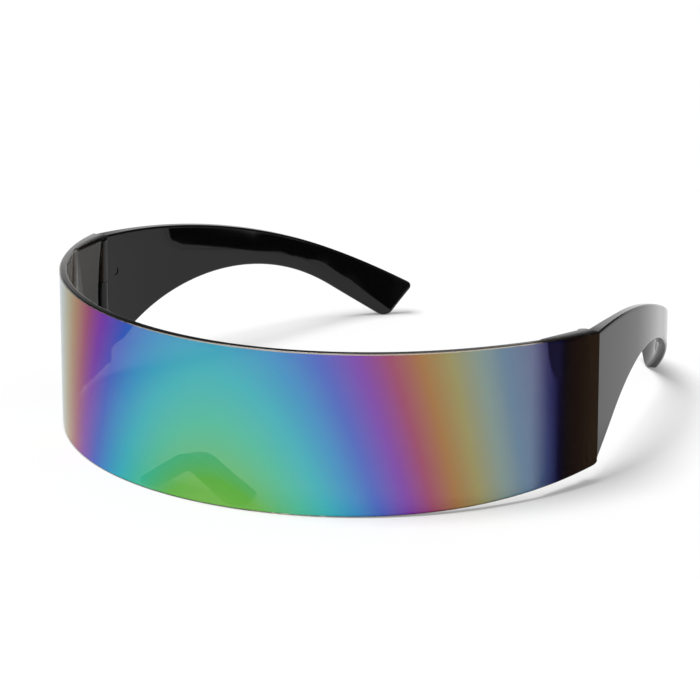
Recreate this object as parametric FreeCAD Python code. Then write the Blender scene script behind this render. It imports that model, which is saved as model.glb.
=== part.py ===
import FreeCAD, Part
import math
import os

V = FreeCAD.Vector
os.makedirs("parts", exist_ok=True)

# shield lens: from above a front arc that runs into two flatter side arcs
lens_width = 150.0
lens_height = 40.4
lens_wall = 1.8
front_turn = 56.8
end_turn = 77.3
side_to_front = 1.22
edge_level = 3.0
edge_straight = 5.0
bottom_rise = 4.9
top_drop = 2.3
lens_corner_round = 2.4
lens_edge_round = 0.35

# hinge block at each end of the lens
block_depth = 4.0
block_length = 17.0
block_scoop = 4.4
block_ramp = 14.0
axis_depth = 3.0
knuckle_radius = 1.8
knuckle_share = 0.28
seam_gap = 0.15
knuckle_gap = 0.12
notch_gap = 0.18

# hinge pin, pressed into the lens and free in the temple
pin_radius = 0.7
pin_play = 0.04
pin_press = 0.01
pin_cover = 2.6
pin_recess = 0.8
pin_end_chamfer = 0.2

# temple, from above a nearly straight arc that ends in a hook
temple_wall = 2.6
temple_turn_in = 25.5
temple_front_radius = 670.0
temple_front_share = 0.717
temple_rear_radius = 54.4
root_depth = 3.9
root_blend = 25.0
temple_edge_round = 0.6

# temple, square to its lean: sweep up to a waist, down to the heel, slanted tip
temple_lean = 9.2
temple_top_step = 0.2
temple_bottom_step = 1.1
heel_back = 91.3
heel_radius = 2.5
waist_place = 0.507
waist_share = 0.8
waist_bend = 0.657
tip_angle = 56.3
tip_length = 8.8
tip_radius = 1.4

# round mould mark on the inner face of each temple
mark_radius = 1.0
mark_depth = 0.2
mark_back = 4.6
mark_drop = 10.2

# nose bridge: bell-shaped arch, wide where it sits on the lens, slimmer towards the back
bridge_half_width = 18.3
bridge_slope = 34.2
bridge_crown = 7.0
bridge_foot = 0.5
bridge_foot_round = 0.9
bridge_seat = 4.6
bridge_wall = 2.2
bridge_fall = 2.5
bridge_depth = 6.5
bridge_hollow = 40.0
bridge_edge_round = 0.5


def rad(angle):
    return math.radians(angle)


def along(angle):
    return V(math.cos(rad(angle)), math.sin(rad(angle)), 0)


def across(angle):
    return V(-math.sin(rad(angle)), math.cos(rad(angle)), 0)


def on_arc(centre, radius, angle):
    return centre - across(angle) * radius


def arc_edge(centre, radius, start, end):
    middle = on_arc(centre, radius, (start + end) / 2)
    return Part.Arc(on_arc(centre, radius, start), middle, on_arc(centre, radius, end)).toShape()


def strip(arcs, near, far, height):
    # upright band along a chain of arcs, between two depths below the outer face
    outer = [arc_edge(c, r - near, a, b) for c, r, a, b in arcs]
    inner = [arc_edge(c, r - far, a, b) for c, r, a, b in arcs]
    c, r, a, b = arcs[0]
    first = Part.makeLine(on_arc(c, r - near, a), on_arc(c, r - far, a))
    c, r, a, b = arcs[-1]
    last = Part.makeLine(on_arc(c, r - near, b), on_arc(c, r - far, b))
    wire = Part.Wire(Part.__sortEdges__(outer + inner + [first, last]))
    return Part.Face(wire).extrude(V(0, 0, height))


def meet(p, p_angle, q, q_angle):
    # crossing of two lines in the side view, each a point (y, z) and an angle
    a = rad(p_angle)
    b = rad(q_angle)
    step = ((q[0] - p[0]) * math.sin(b) - (q[1] - p[1]) * math.cos(b)) / math.sin(b - a)
    return p[0] + step * math.cos(a), p[1] + step * math.sin(a)


def side_outline(corners):
    # closed outline in the side view, corners (y, z, radius)
    ends = []
    arcs = []
    count = len(corners)
    for i in range(count):
        y, z, radius = corners[i]
        here = V(0, y, z)
        before = V(0, *corners[i - 1][:2]) - here
        after = V(0, *corners[(i + 1) % count][:2]) - here
        before.normalize()
        after.normalize()
        if radius == 0:
            ends.append((here, here))
            continue
        half = before.getAngle(after) / 2
        reach = radius / math.tan(half)
        bisector = before + after
        bisector.normalize()
        middle = here + bisector * (radius / math.sin(half) - radius)
        start = here + before * reach
        end = here + after * reach
        ends.append((start, end))
        arcs.append(Part.Arc(start, middle, end).toShape())
    lines = []
    for i in range(count):
        lines.append(Part.makeLine(ends[i - 1][1], ends[i][0]))
    return Part.Face(Part.Wire(Part.__sortEdges__(lines + arcs)))


def side_prism(corners, start, end):
    face = side_outline(corners)
    face.translate(V(start, 0, 0))
    return face.extrude(V(end - start, 0, 0))


def middle_of(edge):
    return edge.valueAt((edge.FirstParameter + edge.LastParameter) / 2)


def mirrored(shape):
    return shape.mirror(V(0, 0, 0), V(1, 0, 0))


def only(shape):
    return shape.removeSplitter().Solids[0]


# lens plan, seam point and the hinge directions at the +X end
half_width = lens_width / 2
side_share = math.sin(rad(end_turn)) - math.sin(rad(front_turn))
front_radius = half_width / (math.sin(rad(front_turn)) + side_to_front * side_share)
side_radius = front_radius * side_to_front
front_centre = V(0, front_radius, 0)
side_centre = front_centre + across(front_turn) * (side_radius - front_radius)
lens_arcs = [
    (V(-side_centre.x, side_centre.y, 0), side_radius, -end_turn, -front_turn),
    (front_centre, front_radius, -front_turn, front_turn),
    (side_centre, side_radius, front_turn, end_turn),
]
seam = on_arc(side_centre, side_radius, end_turn)
back = along(end_turn)
inward = across(end_turn)
axis = seam - back * knuckle_radius + inward * axis_depth
end_bottom = bottom_rise
end_top = lens_height - top_drop
end_height = end_top - end_bottom
end_middle = (end_top + end_bottom) / 2
tall = lens_height * 1.5
far = block_depth * 3

# lens edges in the side view, level at the front and easing towards the hinges
bend_at = (edge_level + seam.y - edge_straight) / 2
bottom_slope = math.atan2(bottom_rise, seam.y - bend_at)
top_slope = math.atan2(top_drop, seam.y - bend_at)
bottom_radius = (bend_at - edge_level) / math.tan(bottom_slope / 2)
top_radius = (bend_at - edge_level) / math.tan(top_slope / 2)
rear_step = block_depth / 4
rear = seam.y + rear_step
lens_corners = [
    (-far, 0, 0),
    (bend_at, 0, bottom_radius),
    (rear, end_bottom + rear_step * math.tan(bottom_slope), lens_corner_round),
    (rear, end_top - rear_step * math.tan(top_slope), 0),
    (bend_at, lens_height, top_radius),
    (-far, lens_height, 0),
]
lens_trim = side_prism(lens_corners, -lens_width, lens_width)
shell = only(strip(lens_arcs, 0, lens_wall, tall).common(lens_trim))
rims = []
for edge in shell.Edges:
    if edge.BoundBox.ZLength < end_height / 2 and edge.Length > 3 * lens_wall:
        rims.append(edge)
shell = shell.makeFillet(lens_edge_round, rims)


def hinge_box(back_from, back_to, in_from, in_to, low, high):
    # block in the hinge directions measured from the hinge axis
    corners = []
    for b, n in ((back_from, in_from), (back_to, in_from), (back_to, in_to), (back_from, in_to)):
        corners.append(axis + back * b + inward * n + V(0, 0, low))
    return Part.Face(Part.makePolygon(corners + corners[:1])).extrude(V(0, 0, high - low))


def hinge_cylinder(radius, low, high):
    return Part.makeCylinder(radius, high - low, axis + V(0, 0, low))


# hinge block: ramps up from a scooped leading edge, round behind the hinge axis, notch for the temple knuckle
block_turn = math.degrees(block_length / side_radius)
block_arc = [(side_centre, side_radius, end_turn - block_turn, end_turn)]
block = strip(block_arc, lens_wall / 2, block_depth, tall)
lead = on_arc(side_centre, side_radius - lens_wall, end_turn - block_turn)
ramp_turn = end_turn - block_turn + block_ramp
scoop_rise = block_scoop * math.sin(rad(block_ramp))
scoop_radius = ((end_height / 2) ** 2 + scoop_rise ** 2) / (2 * scoop_rise)
scoop_at = lead + across(ramp_turn) * (scoop_radius - scoop_rise) - along(ramp_turn) * block_length
scoop_at.z = end_middle
block = block.cut(Part.makeCylinder(scoop_radius, 3 * block_length, scoop_at, along(ramp_turn)))
block = block.cut(hinge_box(0, far, 0, far, -far, tall))
block = block.fuse(hinge_cylinder(knuckle_radius, 0, tall))
block = block.common(lens_trim)
low_knuckle = end_middle - knuckle_share * end_height / 2
high_knuckle = end_middle + knuckle_share * end_height / 2
notch_radius = knuckle_radius + notch_gap
notch_low = low_knuckle - knuckle_gap
notch_high = high_knuckle + knuckle_gap
notch = hinge_cylinder(notch_radius, notch_low, notch_high)
notch = notch.fuse(hinge_box(0, far, -notch_radius, far, notch_low, notch_high))
notch = notch.fuse(hinge_box(-notch_radius, far, 0, far, notch_low, notch_high))
pin_top = end_top - pin_cover
bore = hinge_cylinder(pin_radius - pin_press, -far, pin_top)
lens = shell.fuse(block).fuse(mirrored(block))
lens = lens.cut(notch).cut(mirrored(notch))
lens = only(lens.cut(bore).cut(mirrored(bore)))

# hinge pin
pin = hinge_cylinder(pin_radius, end_bottom + pin_recess, pin_top)
rings = [edge for edge in pin.Edges if len(edge.Vertexes) == 1]
pin = only(pin.makeChamfer(pin_end_chamfer, rings))

# temple side view
temple_top = end_top - temple_top_step
low_z = end_bottom + temple_bottom_step
waist_back = waist_place * heel_back
waist_radius = waist_bend * heel_back
waist = (seam.y + waist_back, end_bottom + waist_share * end_height)
heel = (seam.y + heel_back, heel_radius)
heel_run = heel[0] - waist[0]
heel_fall = waist[1] - heel[1]
sweep_up = (waist[1] - low_z) / waist_back
sweep_down = math.atan2(heel_fall, heel_run) + math.asin(heel_radius / math.hypot(heel_run, heel_fall))
sin_tip = math.sin(rad(tip_angle))
cos_tip = math.cos(rad(tip_angle))
heel_rear = (heel[0] + heel_radius * sin_tip, heel[1] - heel_radius * cos_tip)
tip = (heel_rear[0] + tip_length * cos_tip, heel_rear[1] + tip_length * sin_tip)
heel_corner = meet(waist, -math.degrees(sweep_down), heel_rear, tip_angle)
# its top edge is one arc from ahead of the hinge to just before the round of the tip
top_start = seam.y - root_depth
bend_y = (top_start + tip[0]) / 2
for step in range(12):
    temple_slope = math.atan2(temple_top - tip[1], tip[0] - bend_y)
    tip_reach = tip_radius / math.tan((rad(tip_angle) + temple_slope) / 2)
    run_rear = math.hypot(tip[0] - bend_y, temple_top - tip[1]) - tip_reach
    bend_y = (bend_y + top_start + 0.97 * run_rear) / 2
top_arc_radius = (bend_y - top_start) / math.tan(temple_slope / 2)
start_y = seam.y - far
temple_corners = [
    (start_y, low_z - far * sweep_up, 0),
    (waist[0], waist[1], waist_radius),
    (heel_corner[0], heel_corner[1], heel_radius),
    (tip[0], tip[1], tip_radius),
    (bend_y, temple_top, top_arc_radius),
    (start_y, temple_top, 0),
]

# temple plan: outer face in two arcs, inner face thickened towards the hinge
root = seam + back * seam_gap
root_turn = end_turn + temple_turn_in
lean = root_turn + temple_lean - 90
temple_front_length = temple_front_share * heel_back
front_pole = root + across(root_turn) * temple_front_radius
rear_turn = root_turn + math.degrees(temple_front_length / temple_front_radius)
rear_pole = front_pole - across(rear_turn) * (temple_front_radius - temple_rear_radius)
pole_y = seam.y + (rear_pole - seam).dot(across(lean))
tail_reach = (pole_y - tip[0] - 2 * root_depth) / (temple_rear_radius - temple_wall)
tail_turn = lean + math.degrees(math.acos(max(tail_reach, -0.98)))
lead_in = root_depth * 1.5
lead_turn = root_turn - math.degrees(lead_in / temple_front_radius)
front_inner = temple_front_radius - temple_wall
rear_inner = temple_rear_radius - temple_wall
blend_turn = root_turn + math.degrees(root_blend / temple_front_radius)
blend_end = on_arc(front_pole, front_inner, blend_turn)
blend_radius = 1 / (2 * (root_depth - temple_wall) / root_blend ** 2 + 1 / front_inner)
blend_pole = blend_end + across(blend_turn) * blend_radius
blend_start = blend_turn - math.degrees((root_blend + lead_in) / blend_radius)
outer_edges = [
    arc_edge(front_pole, temple_front_radius, lead_turn, rear_turn),
    arc_edge(rear_pole, temple_rear_radius, rear_turn, tail_turn),
]
inner_edges = [
    arc_edge(blend_pole, blend_radius, blend_start, blend_turn),
    arc_edge(front_pole, front_inner, blend_turn, rear_turn),
    arc_edge(rear_pole, rear_inner, rear_turn, tail_turn),
]
root_outer = on_arc(front_pole, temple_front_radius, lead_turn)
root_inner = on_arc(blend_pole, blend_radius, blend_start)
tail_outer = on_arc(rear_pole, temple_rear_radius, tail_turn)
tail_inner = on_arc(rear_pole, rear_inner, tail_turn)
end_edges = [Part.makeLine(root_outer, root_inner), Part.makeLine(tail_outer, tail_inner)]
blade_plan = Part.Wire(Part.__sortEdges__(outer_edges + inner_edges + end_edges))
blade = Part.Face(blade_plan).extrude(V(0, 0, tall))
side = side_prism(temple_corners, -lens_width, lens_width)
side.rotate(seam, V(0, 0, 1), lean)
blade = blade.common(side)
face_at = knuckle_radius + seam_gap
blade = only(blade.cut(hinge_box(-3 * far, face_at, -far, far, -far, tall)))
soft = []
for edge in blade.Edges:
    on_front = abs((middle_of(edge) - axis).dot(back) - face_at) < 0.05
    span = edge.Vertexes[-1].Point - edge.Vertexes[0].Point
    straight_across = abs(span.dot(along(lean))) > 0.98 * edge.Length
    upright = edge.BoundBox.ZLength > 0.98 * edge.Length
    if not on_front and not upright and not straight_across:
        soft.append(edge)
blade = blade.makeFillet(temple_edge_round, soft)

# temple knuckle on the hinge axis
web_end = face_at + lens_wall / 2
knuckle = hinge_cylinder(knuckle_radius, low_knuckle, high_knuckle)
web = hinge_box(0, web_end, -knuckle_radius, root_depth - axis_depth, low_knuckle, high_knuckle)
temple = blade.fuse(knuckle.fuse(web))
temple = temple.cut(hinge_cylinder(pin_radius + pin_play, 0, tall))
mark_turn = blend_turn - math.degrees((root_blend - mark_back) / blend_radius)
mark_at = on_arc(blend_pole, blend_radius + mark_depth, mark_turn) + V(0, 0, temple_top - mark_drop)
temple = only(temple.cut(Part.makeCylinder(mark_radius, lens_wall, mark_at, across(mark_turn))))


# nose bridge: front edge seated on the lens, rear edge hollowed
def bell(half, wall, y):
    slope = rad(bridge_slope)
    apex = bridge_foot + half * math.tan(slope)
    slim = half - wall / math.sin(slope)
    corners = [
        (half, bridge_foot, bridge_foot_round),
        (0, apex, bridge_crown),
        (-half, bridge_foot, bridge_foot_round),
        (-slim, bridge_foot, bridge_foot_round),
        (0, apex - wall / math.cos(slope), bridge_crown - wall),
        (slim, bridge_foot, bridge_foot_round),
    ]
    wire = side_outline(corners).OuterWire
    wire.rotate(V(0, 0, 0), V(0, 0, 1), -90)
    wire.translate(V(0, y, 0))
    return wire


inner_radius = front_radius - lens_wall
hollow_at = V(0, lens_wall + bridge_depth + bridge_hollow, 0)
bridge_rear = hollow_at.y - math.sqrt(bridge_hollow ** 2 - bridge_half_width ** 2)
narrow = bridge_half_width - bridge_fall / math.tan(rad(bridge_slope))
bridge = Part.makeLoft([bell(bridge_half_width, bridge_seat, 0), bell(narrow, bridge_wall, bridge_rear)], True, True)
bridge = bridge.common(Part.makeCylinder(inner_radius, tall, front_centre))
bridge = only(bridge.cut(Part.makeCylinder(bridge_hollow, tall, hollow_at)))
rims = []
for edge in bridge.Edges:
    gaps = [V(v.X, v.Y - hollow_at.y, 0).Length - bridge_hollow for v in edge.Vertexes]
    if max(gaps) < 0.01 and edge.BoundBox.ZMax > bridge_foot + 2 * bridge_foot_round:
        rims.append(edge)
bridge = bridge.makeFillet(bridge_edge_round, rims)

pieces = {
    "shield_lens": lens,
    "right_temple": temple,
    "left_temple": mirrored(temple),
    "right_hinge_pin": pin,
    "left_hinge_pin": mirrored(pin),
    "nose_bridge": bridge,
}
depth = temple.optimalBoundingBox().YMax
for name, shape in pieces.items():
    placed = shape.copy()
    placed.translate(V(0, -depth / 2, 0))
    placed.exportStep("parts/" + name + ".step")
    print(name, placed.isValid(), round(placed.Volume, 1), placed.optimalBoundingBox())
print("depth", depth, "hinge axis", axis.x, axis.y - depth / 2, "seam", seam.x, seam.y - depth / 2)
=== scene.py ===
import bpy
import math
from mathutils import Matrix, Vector


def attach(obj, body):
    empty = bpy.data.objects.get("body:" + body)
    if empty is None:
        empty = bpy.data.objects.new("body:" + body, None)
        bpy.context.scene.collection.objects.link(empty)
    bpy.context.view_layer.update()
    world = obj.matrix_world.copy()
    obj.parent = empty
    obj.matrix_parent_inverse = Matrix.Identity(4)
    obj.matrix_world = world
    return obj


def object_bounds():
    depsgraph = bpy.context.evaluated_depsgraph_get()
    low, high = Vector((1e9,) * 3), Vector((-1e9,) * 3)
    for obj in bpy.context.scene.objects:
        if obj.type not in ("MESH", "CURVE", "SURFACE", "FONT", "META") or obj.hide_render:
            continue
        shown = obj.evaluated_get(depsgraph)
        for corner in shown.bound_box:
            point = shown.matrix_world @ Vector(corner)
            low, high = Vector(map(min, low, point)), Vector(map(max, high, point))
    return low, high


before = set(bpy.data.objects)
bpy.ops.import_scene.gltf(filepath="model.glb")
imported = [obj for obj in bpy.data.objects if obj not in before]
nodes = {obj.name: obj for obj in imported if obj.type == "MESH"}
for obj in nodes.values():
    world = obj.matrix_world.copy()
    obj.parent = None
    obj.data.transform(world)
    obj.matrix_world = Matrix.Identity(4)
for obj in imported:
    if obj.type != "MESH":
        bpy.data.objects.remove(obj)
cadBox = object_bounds()
print("frame loaded", sorted(nodes))

# front arc of the lens in plan, in metres
lensPlan = {"frontY": cadBox[0].y, "frontRadius": 0.07455}
lensPlan["middleY"] = lensPlan["frontY"] + lensPlan["frontRadius"]
millimetres = 1000.0  # in a metre
black = (0, 0, 0, 1)
white = (1, 1, 1, 1)


def linear(red, green, blue):
    # display colour, 0 to 255, to the linear colour that shaders take
    channels = []
    for value in (red, green, blue):
        part = value / 255
        channels.append(part / 12.92 if part < 0.04045 else ((part + 0.055) / 1.055) ** 2.4)
    return (*channels, 1)


def newMaterial(name):
    material = bpy.data.materials.new(name)
    material.use_nodes = True
    tree = material.node_tree
    return material, tree, tree.nodes["Principled BSDF"]


def addNode(tree, kind, **values):
    node = tree.nodes.new(kind)
    for key, value in values.items():
        setattr(node, key, value)
    return node


def addMath(tree, operation, first, second=None):
    node = addNode(tree, "ShaderNodeMath", operation=operation)
    for index, value in enumerate((first, second)):
        if value is None:
            continue
        if isinstance(value, (int, float)):
            node.inputs[index].default_value = value
        else:
            tree.links.new(value, node.inputs[index])
    return node.outputs[0]


def addRamp(tree, source, stops):
    node = addNode(tree, "ShaderNodeValToRGB")
    ramp = node.color_ramp
    while len(ramp.elements) < len(stops):
        ramp.elements.new(0.5)
    for element, (place, colour) in zip(ramp.elements, stops):
        element.position = place
        element.color = colour
    tree.links.new(source, node.inputs[0])
    return node.outputs[0]


def addNoise(tree, scale, detail=3.0, roughness=0.5, stretch=(1, 1, 1)):
    place = addNode(tree, "ShaderNodeTexCoord")
    mapping = addNode(tree, "ShaderNodeMapping")
    mapping.inputs["Scale"].default_value = stretch
    noise = addNode(tree, "ShaderNodeTexNoise")
    noise.inputs["Scale"].default_value = scale
    noise.inputs["Detail"].default_value = detail
    noise.inputs["Roughness"].default_value = roughness
    tree.links.new(place.outputs["Object"], mapping.inputs["Vector"])
    tree.links.new(mapping.outputs["Vector"], noise.inputs["Vector"])
    return noise.outputs["Fac"]


def addMottle(tree, noise, first, second, start=0.3, end=0.7):
    return addRamp(tree, noise, [(start, linear(*first)), (end, linear(*second))])


def addBump(tree, shader, height, strength, distance, normal=None):
    bump = addNode(tree, "ShaderNodeBump")
    if normal:
        tree.links.new(normal, bump.inputs["Normal"])
    bump.inputs["Strength"].default_value = strength
    bump.inputs["Distance"].default_value = distance
    tree.links.new(height, bump.inputs["Height"])
    tree.links.new(bump.outputs["Normal"], shader.inputs["Normal"])


def addLean(tree, lean):
    # the lean is given in the piece's own axes, so it turns with a folded temple
    facing = addNode(tree, "ShaderNodeNewGeometry")
    turned = addNode(tree, "ShaderNodeVectorTransform", vector_type="VECTOR",
                     convert_from="OBJECT", convert_to="WORLD")
    tree.links.new(lean, turned.inputs["Vector"])
    leaning = addNode(tree, "ShaderNodeVectorMath", operation="ADD")
    tree.links.new(facing.outputs["Normal"], leaning.inputs[0])
    tree.links.new(turned.outputs["Vector"], leaning.inputs[1])
    unit = addNode(tree, "ShaderNodeVectorMath", operation="NORMALIZE")
    tree.links.new(leaning.outputs["Vector"], unit.inputs[0])
    return unit.outputs["Vector"]


def addMix(tree, factor, first, second):
    node = addNode(tree, "ShaderNodeMix", data_type="RGBA")
    tree.links.new(factor, node.inputs["Factor"])
    tree.links.new(first, node.inputs["A"])
    if isinstance(second, tuple):
        node.inputs["B"].default_value = second
    else:
        tree.links.new(second, node.inputs["B"])
    return node.outputs["Result"]


def spread(tree, value, low, high, start=0.0, end=1.0):
    node = addNode(tree, "ShaderNodeMapRange")
    node.inputs["From Min"].default_value = start
    node.inputs["From Max"].default_value = end
    node.inputs["To Min"].default_value = low
    node.inputs["To Max"].default_value = high
    tree.links.new(value, node.inputs["Value"])
    return node.outputs["Result"]


def wear(piece, material):
    piece.data.materials.clear()
    piece.data.materials.append(material)


# shared group: a place on the lens, as its turn round the front arc in degrees, its height and its distance
# from the middle of that arc in millimetres, and its side, -1 or 1
lensPlace = bpy.data.node_groups.new("lensPlace", "ShaderNodeTree")
for name in ("Turn", "Height", "Side", "Radius"):
    lensPlace.interface.new_socket(name, in_out="OUTPUT", socket_type="NodeSocketFloat")
placeCoord = addNode(lensPlace, "ShaderNodeTexCoord")
placeMap = addNode(lensPlace, "ShaderNodeMapping")
placeMap.inputs["Location"].default_value = (0, -lensPlan["middleY"], 0)
placeSplit = addNode(lensPlace, "ShaderNodeSeparateXYZ")
lensPlace.links.new(placeCoord.outputs["Object"], placeMap.inputs["Vector"])
lensPlace.links.new(placeMap.outputs["Vector"], placeSplit.inputs["Vector"])
across, rearwards, up = (placeSplit.outputs[axis] for axis in "XYZ")
turnRadians = addMath(lensPlace, "ARCTAN2", across, addMath(lensPlace, "MULTIPLY", rearwards, -1.0))
radiusSquare = addMath(lensPlace, "ADD", addMath(lensPlace, "MULTIPLY", across, across),
                       addMath(lensPlace, "MULTIPLY", rearwards, rearwards))
lensPlaces = {
    "Turn": addMath(lensPlace, "DEGREES", turnRadians),
    "Height": addMath(lensPlace, "MULTIPLY", up, millimetres),
    "Side": addMath(lensPlace, "SIGN", across),
    "Radius": addMath(lensPlace, "MULTIPLY", addMath(lensPlace, "SQRT", radiusSquare), millimetres),
}
placeOut = addNode(lensPlace, "NodeGroupOutput")
for name, value in lensPlaces.items():
    lensPlace.links.new(value, placeOut.inputs[name])

# mirror coat: a thin film on the outer face, coloured in rings round a point low on the +X side of the middle
coatLook = {
    "middleTurn": 5.5,  # where the rings centre, in degrees
    "heightShare": 15.9,  # growth of the squared ring in a millimetre of height
    "reach": 80.0,  # ring or turn at the end of the colour ramps
    "lift": 0.00008,
    "film": 0.00005,
    "weld": 0.000002,
    "outwardLeast": 0.9,  # a coated face looks outwards at least this much
    "upwardMost": 0.02,
    "smoothAngle": 30,
    "cover": [(56, 0.8), (72, 0.84)],
    "glossNoise": (60.0, 4.0),  # scale and detail
    "gloss": (0.02, 0.05),
    "backing": (30, 24, 19),
    "backingDark": 0.85,
    "backingNoise": (300.0, 3.0),
    "backingRough": 0.3,
    "backingCover": 0.2,
    "rings": {
        "lime": (4, (120, 190, 80)),
        "leaf": (10, (105, 187, 75)),
        "seaGreen": (18, (55, 190, 158)),
        "turquoise": (23, (0, 178, 190)),
        "sky": (27.5, (0, 143, 200)),
        "royalBlue": (32, (45, 90, 195)),
        "violet": (37, (115, 30, 170)),
        "wine": (41.5, (150, 37, 95)),
        "amber": (46, (157, 102, 32)),
        "olive": (50.5, (145, 138, 77)),
        "sage": (55.5, (115, 142, 137)),
        "steel": (60, (78, 118, 150)),
        "slate": (66, (85, 93, 135)),
        "plum": (70, (75, 45, 80)),
    },
    "endTurn": (66, 72),
    # painted shade over the hinge blocks, darkening with the turn in degrees
    "ends": {
        "deepBlue": (70, (14, 28, 85)),
        "navy": (72.3, (6, 4, 36)),
        "black": (73.6, (7, 3, 9)),
        "darkBrown": (76, (20, 7, 4)),
        "brown": (80, (36, 23, 10)),
    },
    # painted shade: navy over the rounded upper shoulder of each block
    "shoulderShade": (18, 16, 47),
    "shoulderMiddle": (72.5, 40.5),  # turn and height
    "shoulderReach": (3.3, 12.0),
    "shoulderEdge": (0.9, 1.1),
    "shoulderEnd": (73, 71.5),
}


def coatStops(named):
    return [(at / coatLook["reach"], linear(*rgb)) for at, rgb in named.values()]


coatMaterial, tree, shader = newMaterial("rainbowMirrorCoat")
place = addNode(tree, "ShaderNodeGroup", node_tree=lensPlace)
fromMiddle = addMath(tree, "SUBTRACT", place.outputs["Turn"], coatLook["middleTurn"])
ringSquare = addMath(tree, "ADD", addMath(tree, "MULTIPLY", fromMiddle, fromMiddle),
                     addMath(tree, "MULTIPLY", place.outputs["Height"], coatLook["heightShare"]))
ring = addMath(tree, "DIVIDE", addMath(tree, "SQRT", ringSquare), coatLook["reach"])
ringColour = addRamp(tree, ring, coatStops(coatLook["rings"]))
coverStops = [(at / coatLook["reach"], (cover, cover, cover, 1)) for at, cover in coatLook["cover"]]
# over the hinge blocks the colour darkens with the turn alone, a painted shade
sideTurn = addMath(tree, "ABSOLUTE", place.outputs["Turn"])
endShadeColour = addRamp(tree, addMath(tree, "DIVIDE", sideTurn, coatLook["reach"]), coatStops(coatLook["ends"]))
endShadeMask = spread(tree, sideTurn, 0.0, 1.0, *coatLook["endTurn"])
coatColour = addMix(tree, endShadeMask, ringColour, endShadeColour)
# over the rounded upper shoulder of each block the film is painted navy, a painted shade of the block seen
# through it
shoulderParts = []
shoulderAxes = zip((sideTurn, place.outputs["Height"]), coatLook["shoulderMiddle"], coatLook["shoulderReach"])
for value, middle, reach in shoulderAxes:
    share = addMath(tree, "DIVIDE", addMath(tree, "SUBTRACT", value, middle), reach)
    shoulderParts.append(addMath(tree, "MULTIPLY", share, share))
shoulderShade = spread(tree, addMath(tree, "ADD", *shoulderParts), 1.0, 0.0, *coatLook["shoulderEdge"])
shoulderShade = addMath(tree, "MULTIPLY", shoulderShade, spread(tree, sideTurn, 0.0, 1.0, *coatLook["shoulderEnd"]))
tree.links.new(addMix(tree, shoulderShade, coatColour, linear(*coatLook["shoulderShade"])), shader.inputs["Base Color"])
tree.links.new(addRamp(tree, ring, coverStops), shader.inputs["Alpha"])
shader.inputs["Metallic"].default_value = 1.0
coatRough = spread(tree, addNoise(tree, *coatLook["glossNoise"]), *coatLook["gloss"])
tree.links.new(coatRough, shader.inputs["Roughness"])

backingMaterial, tree, shader = newMaterial("coatBacking")
haze = addNoise(tree, *coatLook["backingNoise"])
darker = [value * coatLook["backingDark"] for value in coatLook["backing"]]
tree.links.new(addMottle(tree, haze, darker, coatLook["backing"]), shader.inputs["Base Color"])
shader.inputs["Roughness"].default_value = coatLook["backingRough"]
shader.inputs["Alpha"].default_value = coatLook["backingCover"]


def makeCoat():
    bpy.ops.object.select_all(action="DESELECT")
    mesh = nodes["shield_lens"].data.copy()
    coat = bpy.data.objects.new("mirrorCoat", mesh)
    bpy.context.scene.collection.objects.link(coat)
    bpy.context.view_layer.objects.active = coat
    coat.select_set(True)
    bpy.ops.object.mode_set(mode="EDIT")
    bpy.ops.mesh.select_all(action="SELECT")
    bpy.ops.mesh.remove_doubles(threshold=coatLook["weld"])
    bpy.ops.mesh.select_mode(type="FACE")
    bpy.ops.mesh.select_all(action="DESELECT")
    bpy.ops.object.mode_set(mode="OBJECT")
    for face in mesh.polygons:
        outwards = Vector((face.center.x, face.center.y - lensPlan["middleY"], 0)).normalized()
        turnedAway = face.normal.dot(outwards) < coatLook["outwardLeast"]
        face.select = turnedAway or abs(face.normal.z) > coatLook["upwardMost"]
    bpy.ops.object.mode_set(mode="EDIT")
    bpy.ops.mesh.delete(type="FACE")
    bpy.ops.mesh.select_all(action="SELECT")
    bpy.ops.transform.shrink_fatten(value=coatLook["lift"])
    bpy.ops.object.mode_set(mode="OBJECT")
    if mesh.has_custom_normals:
        bpy.ops.mesh.customdata_custom_splitnormals_clear()
    wear(coat, coatMaterial)
    coat.data.materials.append(backingMaterial)
    film = coat.modifiers.new("film", "SOLIDIFY")
    film.thickness = coatLook["film"]
    film.offset = -1.0
    film.material_offset = 1
    film.material_offset_rim = 1
    bpy.ops.object.modifier_apply(modifier=film.name)
    bpy.ops.object.shade_smooth_by_angle(angle=math.radians(coatLook["smoothAngle"]))
    return coat


coat = makeCoat()
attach(coat, "front")
print("coat faces", len(coat.data.polygons))

# smoke lens body: dark along its narrow edges, satin and brown at the hinge blocks
lensLook = {
    "tint": (196, 186, 172),
    "cloud": (193, 183, 169),
    "edge": (46, 40, 34),
    "block": (46, 37, 28),
    "blockTurn": (66, 70),
    "topFall": 0.07,  # fall of the top edge in a degree of turn
    "blockTop": (42.6, 43.2),  # heights where the dark top starts and is full
    "blockRound": 0.8,
    "blockWidth": (70.9, 75.6),  # inner and outer radius
    "blockCrown": 0.3,
    "blockTurnBack": -0.27,
    "blockInner": (-0.7, -0.3),  # normal where the inner face is full and ends
    "shade": (8, 7, 6),
    "smokeNoise": (700.0, 2.0),
    "rimFrom": 0.3,
    "rimFull": 0.7,
    "gloss": 0.02,
    "satin": 0.15,
    "refraction": 1.52,
}
lensMaterial, tree, shader = newMaterial("smokeLens")
body = addMottle(tree, addNoise(tree, *lensLook["smokeNoise"]), lensLook["cloud"], lensLook["tint"])
lensCoord = addNode(tree, "ShaderNodeTexCoord")
lensFacing = addNode(tree, "ShaderNodeSeparateXYZ")
tree.links.new(lensCoord.outputs["Normal"], lensFacing.inputs["Vector"])
rimStops = [(lensLook["rimFrom"], black), (lensLook["rimFull"], white)]
rim = addRamp(tree, addMath(tree, "ABSOLUTE", lensFacing.outputs["Z"]), rimStops)
place = addNode(tree, "ShaderNodeGroup", node_tree=lensPlace)
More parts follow.
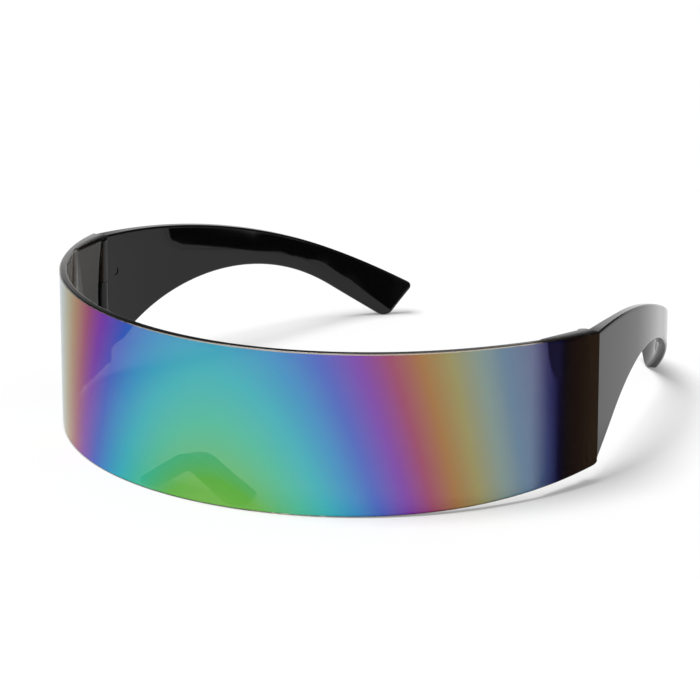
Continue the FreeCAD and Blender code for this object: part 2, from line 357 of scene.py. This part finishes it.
sideTurn = addMath(tree, "ABSOLUTE", place.outputs["Turn"])
blockMask = spread(tree, sideTurn, 0.0, 1.0, *lensLook["blockTurn"])
blocked = addMix(tree, blockMask, body, linear(*lensLook["block"]))
topFall = addMath(tree, "MULTIPLY", sideTurn, lensLook["topFall"])
levelTop = addMath(tree, "ADD", place.outputs["Height"], topFall)
topShade = addMath(tree, "MULTIPLY", blockMask, spread(tree, levelTop, 0.0, 1.0, *lensLook["blockTop"]))
blocked = addMix(tree, topShade, blocked, linear(*lensLook["shade"]))
tree.links.new(addMix(tree, rim, blocked, linear(*lensLook["edge"])), shader.inputs["Base Color"])
tree.links.new(spread(tree, blockMask, lensLook["gloss"], lensLook["satin"]), shader.inputs["Roughness"])
# shading alone makes the top of each block softly rounded and crowned across its width, and turns its inner
# face a little
blockLean = addNode(tree, "ShaderNodeCombineXYZ")
crown = lensLook["blockCrown"]
crownLean = spread(tree, place.outputs["Radius"], -crown, crown, *lensLook["blockWidth"])
crownLean = addMath(tree, "MULTIPLY", crownLean, place.outputs["Side"])
topMask = addMath(tree, "MULTIPLY", rim, blockMask)
tree.links.new(addMath(tree, "MULTIPLY", crownLean, topMask), blockLean.inputs["X"])
inwards = addMath(tree, "MULTIPLY", lensFacing.outputs["X"], place.outputs["Side"])
innerMask = addMath(tree, "MULTIPLY", spread(tree, inwards, 1.0, 0.0, *lensLook["blockInner"]), blockMask)
tree.links.new(addMath(tree, "MULTIPLY", innerMask, lensLook["blockTurnBack"]), blockLean.inputs["Y"])
tree.links.new(addMath(tree, "MULTIPLY", topShade, lensLook["blockRound"]), blockLean.inputs["Z"])
tree.links.new(addLean(tree, blockLean.outputs["Vector"]), shader.inputs["Normal"])
shader.inputs["IOR"].default_value = lensLook["refraction"]
shader.inputs["Transmission Weight"].default_value = 1.0
wear(nodes["shield_lens"], lensMaterial)
print("lens dressed")

# polished black temples: the inner face is slightly crowned above a line that falls towards the tip
templeLook = {
    "colour": (7, 7, 8),
    "dull": (11, 11, 12),
    "flowNoise": (40.0, 5.0),
    "flowFrom": 0.35,
    "gloss": 0.04,
    "handled": 0.08,
    "handledNoise": (90.0, 4.0),
    "grainNoise": (900.0, 2.0),
    "grain": (0.01, 0.0001),  # strength and depth
    "refraction": 1.38,
    "length": (-0.016, 0.077),  # metres
    "top": 0.04,
    # pairs of a place along the temple in millimetres and a height or a lean there
    "crownLine": [(8, 33.5), (13, 30.5), (32, 26.5), (44, 23), (56, 17.5), (64, 11.5), (74, 0)],
    "crownEase": 0.003,
    "crownLean": [(7, 0), (10, 0.085), (51, 0.09), (62, 0.2)],
    "crownScale": 0.25,
    "innerTurn": [(36, 0), (45, 0.05), (49, 0.05), (53, 0)],
    "sideLean": [(8, 0.07), (20, 0.055), (44, -0.08)],
    "sideScale": 0.1,
    "facingFrom": 0.01,
    "facingFull": 0.02,
}
templeMaterial, tree, shader = newMaterial("blackGlossTemple")
flow = addNoise(tree, *templeLook["flowNoise"])
flowColour = addMottle(tree, flow, templeLook["colour"], templeLook["dull"], templeLook["flowFrom"])
tree.links.new(flowColour, shader.inputs["Base Color"])
handled = addNoise(tree, *templeLook["handledNoise"])
tree.links.new(spread(tree, handled, templeLook["gloss"], templeLook["handled"]), shader.inputs["Roughness"])
templeCoord = addNode(tree, "ShaderNodeTexCoord")
templeAt = addNode(tree, "ShaderNodeSeparateXYZ")
templeFacing = addNode(tree, "ShaderNodeSeparateXYZ")
tree.links.new(templeCoord.outputs["Object"], templeAt.inputs["Vector"])
tree.links.new(templeCoord.outputs["Normal"], templeFacing.inputs["Vector"])
alongShare = spread(tree, templeAt.outputs["Y"], 0.0, 1.0, *templeLook["length"])
lengthStart, lengthEnd = templeLook["length"]


def lengthStops(pairs, scale):
    stops = []
    for place, value in pairs:
        share = (place / millimetres - lengthStart) / (lengthEnd - lengthStart)
        stops.append((share, (value / scale,) * 3 + (1,)))
    return stops


lineStops = lengthStops(templeLook["crownLine"], millimetres * templeLook["top"])
line = addMath(tree, "MULTIPLY", addRamp(tree, alongShare, lineStops), templeLook["top"])
aboveLine = addMath(tree, "SUBTRACT", templeAt.outputs["Z"], line)
above = spread(tree, aboveLine, 0.0, 1.0, -templeLook["crownEase"], 0.0)
sideFacing = addMath(tree, "MULTIPLY", templeAt.outputs["X"], templeFacing.outputs["X"])
inside = spread(tree, sideFacing, 0.0, 1.0, -templeLook["facingFrom"], -templeLook["facingFull"])
outside = spread(tree, sideFacing, 0.0, 1.0, templeLook["facingFrom"], templeLook["facingFull"])
crownScale = templeLook["crownScale"]
sideScale = templeLook["sideScale"]
upLean = addRamp(tree, alongShare, lengthStops(templeLook["crownLean"], crownScale))
upLean = addMath(tree, "MULTIPLY", upLean, crownScale)
upLean = addMath(tree, "MULTIPLY", upLean, addMath(tree, "MULTIPLY", above, inside))
# a ramp holds no negative values, so the side leans are stored from 0 to 1 and spread again
sidePairs = [(place, sideScale - side) for place, side in templeLook["sideLean"]]
outerTurn = addRamp(tree, alongShare, lengthStops(sidePairs, 2 * sideScale))
outerTurn = addMath(tree, "MULTIPLY", spread(tree, outerTurn, -sideScale, sideScale), outside)
innerTurn = addRamp(tree, alongShare, lengthStops(templeLook["innerTurn"], sideScale))
innerTurn = addMath(tree, "MULTIPLY", addMath(tree, "MULTIPLY", innerTurn, inside), -sideScale)
templeLean = addNode(tree, "ShaderNodeCombineXYZ")
tree.links.new(addMath(tree, "ADD", outerTurn, innerTurn), templeLean.inputs["Y"])
tree.links.new(upLean, templeLean.inputs["Z"])
leaning = addLean(tree, templeLean.outputs["Vector"])
addBump(tree, shader, addNoise(tree, *templeLook["grainNoise"]), *templeLook["grain"], leaning)
shader.inputs["IOR"].default_value = templeLook["refraction"]
wear(nodes["right_temple"], templeMaterial)
wear(nodes["left_temple"], templeMaterial)

# drawn steel pins, streaked along their length
pinLook = {
    "light": (186, 186, 190),
    "dark": (120, 120, 126),
    "streakNoise": (3000.0, 3.0, 0.6, (1, 1, 0.03)),
    "rough": (0.2, 0.4),
}
pinMaterial, tree, shader = newMaterial("drawnSteelPin")
streaks = addNoise(tree, *pinLook["streakNoise"])
tree.links.new(addMottle(tree, streaks, pinLook["dark"], pinLook["light"]), shader.inputs["Base Color"])
shader.inputs["Metallic"].default_value = 1.0
tree.links.new(spread(tree, streaks, *pinLook["rough"]), shader.inputs["Roughness"])
wear(nodes["right_hinge_pin"], pinMaterial)
wear(nodes["left_hinge_pin"], pinMaterial)

# smoke plastic nose bridge
bridgeLook = {
    "dark": (26, 24, 22),
    "light": (40, 37, 33),
    "swirlNoise": (120.0, 3.0),
    "swirlFrom": 0.35,
    "roughNoise": (400.0, 3.0),
    "rough": (0.25, 0.4),
    "grainNoise": (2500.0, 2.0),
    "grain": (0.15, 0.0001),
}
bridgeMaterial, tree, shader = newMaterial("smokeNoseBridge")
swirl = addNoise(tree, *bridgeLook["swirlNoise"])
swirlColour = addMottle(tree, swirl, bridgeLook["dark"], bridgeLook["light"], bridgeLook["swirlFrom"])
tree.links.new(swirlColour, shader.inputs["Base Color"])
bridgeRough = spread(tree, addNoise(tree, *bridgeLook["roughNoise"]), *bridgeLook["rough"])
tree.links.new(bridgeRough, shader.inputs["Roughness"])
addBump(tree, shader, addNoise(tree, *bridgeLook["grainNoise"]), *bridgeLook["grain"])
wear(nodes["nose_bridge"], bridgeMaterial)
print("temples, pins and bridge dressed")

# pale studio: white floor, white surround, one soft light overhead
studio = {
    "floorSize": 12,
    "floorWhite": 0.86,
    "floorRough": 0.9,
    "floorGloss": 0.1,
    "floorLift": 0.25,
    "fill": 0.3,
    "lampPower": 3.0,
    "lampSpread": 34,
    "lampFrom": (-0.18, -0.24, 1.0),
    "wallDark": 0.08,
    "sweepTop": (0.3, 0.2),
    "sweepBack": (-0.1, 0.2),
    "ceiling": (0.75, 0.9),
}
bpy.ops.object.select_all(action="DESELECT")
bpy.ops.mesh.primitive_plane_add(size=studio["floorSize"], location=(0, 0, 0))
floor = bpy.context.object
floor.name = "studioFloor"
floorMaterial, tree, shader = newMaterial("paleFloor")
shader.inputs["Base Color"].default_value = (studio["floorWhite"],) * 3 + (1,)
shader.inputs["Roughness"].default_value = studio["floorRough"]
shader.inputs["Specular IOR Level"].default_value = studio["floorGloss"]
glow = addNode(tree, "ShaderNodeEmission")
glow.inputs["Strength"].default_value = 1.0
lightPath = addNode(tree, "ShaderNodeLightPath")
glossy = lightPath.outputs["Is Glossy Ray"]
through = lightPath.outputs["Is Transmission Ray"]
seen = addMath(tree, "MAXIMUM", lightPath.outputs["Is Camera Ray"], addMath(tree, "MAXIMUM", glossy, through))
lift = addMath(tree, "MULTIPLY", seen, studio["floorLift"])
mixed = addNode(tree, "ShaderNodeMixShader")
tree.links.new(lift, mixed.inputs["Fac"])
tree.links.new(shader.outputs[0], mixed.inputs[1])
tree.links.new(glow.outputs[0], mixed.inputs[2])
tree.links.new(mixed.outputs[0], tree.nodes["Material Output"].inputs["Surface"])
floor.data.materials.append(floorMaterial)

world = bpy.data.worlds.new("studioSurround")
bpy.context.scene.world = world
world.use_nodes = True
tree = world.node_tree
backdrop = tree.nodes["Background"]
backdrop.inputs["Color"].default_value = white
# gloss sees a white sweep behind, a light ceiling and darker walls between them
worldCoord = addNode(tree, "ShaderNodeTexCoord")
worldWay = addNode(tree, "ShaderNodeSeparateXYZ")
tree.links.new(worldCoord.outputs["Generated"], worldWay.inputs["Vector"])
ceiling = spread(tree, worldWay.outputs["Z"], 0.0, 1.0, *studio["ceiling"])
lowDown = spread(tree, worldWay.outputs["Z"], 0.0, 1.0, *studio["sweepTop"])
behind = spread(tree, worldWay.outputs["Y"], 0.0, 1.0, *studio["sweepBack"])
sweep = addMath(tree, "MULTIPLY", lowDown, behind)
walls = spread(tree, addMath(tree, "MAXIMUM", ceiling, sweep), studio["wallDark"], 1.0)
worldPath = addNode(tree, "ShaderNodeLightPath")
plain = addMath(tree, "MAXIMUM", worldPath.outputs["Is Camera Ray"], worldPath.outputs["Is Transmission Ray"])
seenLevel = addNode(tree, "ShaderNodeMix")
seenLevel.inputs["A"].default_value = studio["fill"]
tree.links.new(worldPath.outputs["Is Glossy Ray"], seenLevel.inputs["Factor"])
tree.links.new(walls, seenLevel.inputs["B"])
tree.links.new(addMath(tree, "MAXIMUM", plain, seenLevel.outputs["Result"]), backdrop.inputs["Strength"])

bpy.ops.object.select_all(action="DESELECT")
bpy.ops.object.light_add(type="SUN", location=studio["lampFrom"])
lamp = bpy.context.object
lamp.name = "overheadSoftLight"
lamp.data.energy = studio["lampPower"]
lamp.data.angle = math.radians(studio["lampSpread"])
lamp.rotation_euler = Vector(studio["lampFrom"]).to_track_quat("Z", "Y").to_euler()

# camera of the photograph: long lens, a little above the right-hand front
viewing = {
    "azimuth": 34.16,
    "elevation": 18.135,
    "distance": 0.9933,
    "target": (0, 0.0528 + cadBox[0].y, 0.020),
    "focalPixels": 4044.7,
    "axisPixel": (311.55, 361.56),
    "imagePixels": 700,
    "sensor": 36,  # millimetres
    "clip": (0.01, 50),
}
azimuth = math.radians(viewing["azimuth"])
elevation = math.radians(viewing["elevation"])
level = math.cos(elevation)
backwards = Vector((math.sin(azimuth) * level, -math.cos(azimuth) * level, math.sin(elevation)))
rightwards = Vector((math.cos(azimuth), math.sin(azimuth), 0))
upwards = backwards.cross(rightwards)
centrePixel = viewing["imagePixels"] / 2
aside = (centrePixel - viewing["axisPixel"][0]) / viewing["focalPixels"]
below = (centrePixel - viewing["axisPixel"][1]) / viewing["focalPixels"]
cameraData = bpy.data.cameras.new("photoCamera")
camera = bpy.data.objects.new("photoCamera", cameraData)
bpy.context.scene.collection.objects.link(camera)
cameraData.sensor_width = viewing["sensor"]
cameraData.lens = viewing["focalPixels"] / viewing["imagePixels"] * viewing["sensor"]
camera.location = Vector(viewing["target"]) + backwards * viewing["distance"]
ahead = -backwards + rightwards * aside - upwards * below
camera.rotation_euler = ahead.to_track_quat("-Z", "Y").to_euler()
cameraData.clip_start, cameraData.clip_end = viewing["clip"]
bpy.context.scene.camera = camera
bpy.context.scene.view_settings.view_transform = "Standard"
print("studio and camera ready")

print("scene finished")
